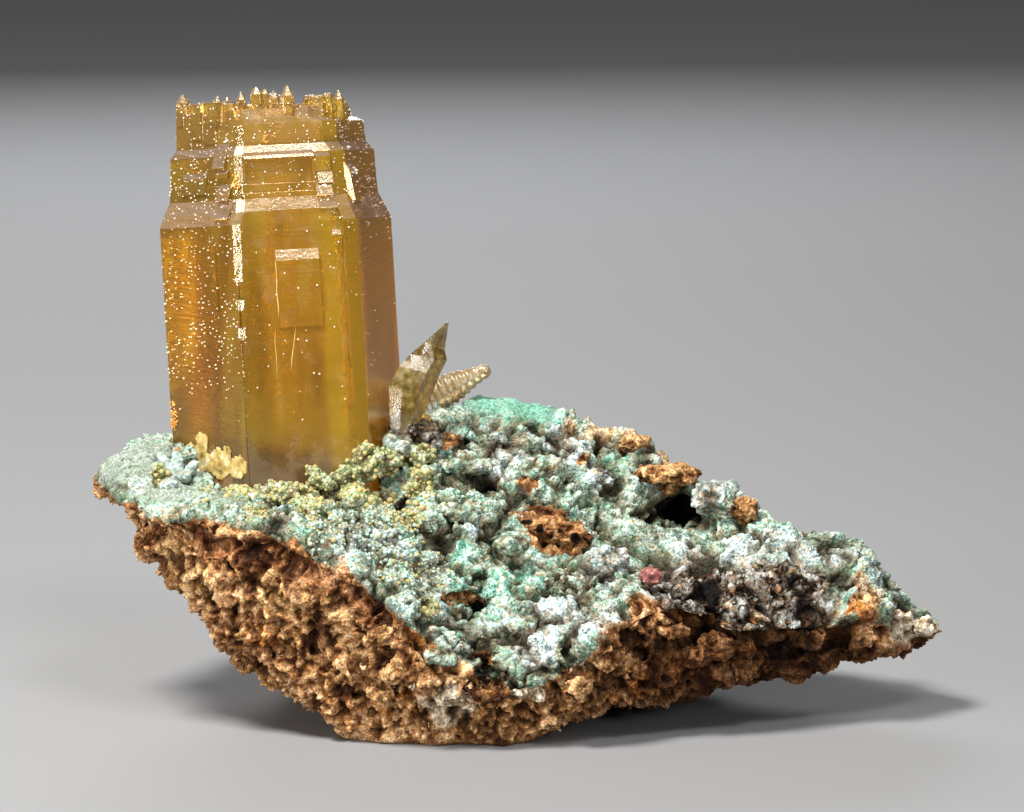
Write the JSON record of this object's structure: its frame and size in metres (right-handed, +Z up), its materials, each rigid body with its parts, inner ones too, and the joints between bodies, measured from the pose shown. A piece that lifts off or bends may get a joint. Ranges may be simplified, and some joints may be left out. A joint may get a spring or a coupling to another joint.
{
  "type": "mimetite crystal specimen on gossan",
  "caption": "Stepped hexagonal amber crystal with a toothed crown, standing with smaller crystals on a crusted wedge of brown vuggy rock.",
  "frame": {"origin": "middle of the overall footprint, on the plane that the rock's flat cut rests on", "axes": "+Z up, +X along the rock's length towards its thin tip, -Y out of the crusted front"},
  "size_m": [0.0686, 0.0325, 0.0504],
  "materials": {
    "gossan_and_crust": "matte",
    "amber_mimetite": "gloss",
    "pale_mimetite": "gloss",
    "white_mimetite": "satin",
    "amber_chip": "gloss",
    "red_mineral": "satin",
    "crusted_spray": "matte"
  },
  "bodies": {
    "root": {"matrix": "gossan_and_crust", "main_crystal": "amber_mimetite", "blade_crystal": "pale_mimetite", "ribbed_crystal": "white_mimetite", "amber_chip": "amber_chip", "red_grain": "red_mineral", "left_spray": "crusted_spray"}
  },
  "joints": []
}
